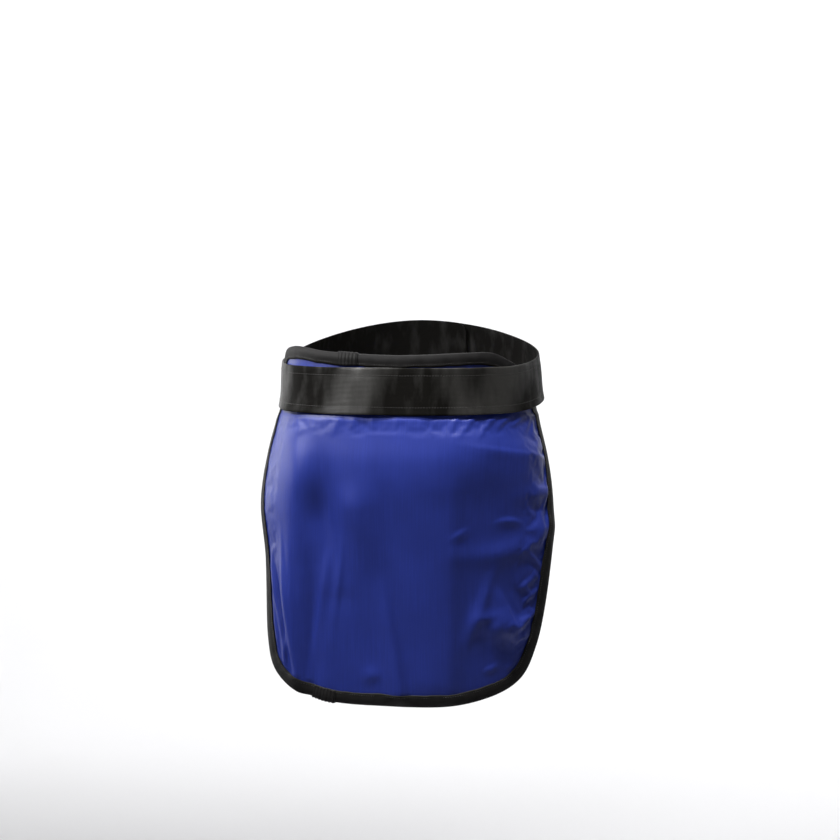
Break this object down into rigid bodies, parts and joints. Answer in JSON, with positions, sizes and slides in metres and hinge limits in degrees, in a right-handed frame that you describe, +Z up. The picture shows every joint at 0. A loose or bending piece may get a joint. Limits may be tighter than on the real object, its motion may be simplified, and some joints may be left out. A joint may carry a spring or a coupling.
{
  "type": "maternity x-ray apron",
  "caption": "Curved shielding apron panel with rounded lower corners and a tape-bound edge, hung from a wide webbing belt that goes round the waist and closes behind.",
  "frame": {"origin": "middle of the waist, at mid height of the belt's front run", "axes": "+Z up along the wearer, -Y out of the apron's front, +X to the right as seen from the front"},
  "size_m": [0.4075, 0.3038, 0.5129],
  "materials": {
    "panel_nylon": "satin coated nylon, fine upright weave",
    "edge_tape": "black folded tape, dull satin",
    "belt_webbing": "black webbing with a satin sheen",
    "hook_and_loop": "black hook-and-loop pile, matt"
  },
  "bodies": {
    "root": {"panel": "panel_nylon", "edge_tape": "edge_tape", "belt": "belt_webbing", "belt_fastener": "hook_and_loop"}
  },
  "joints": []
}
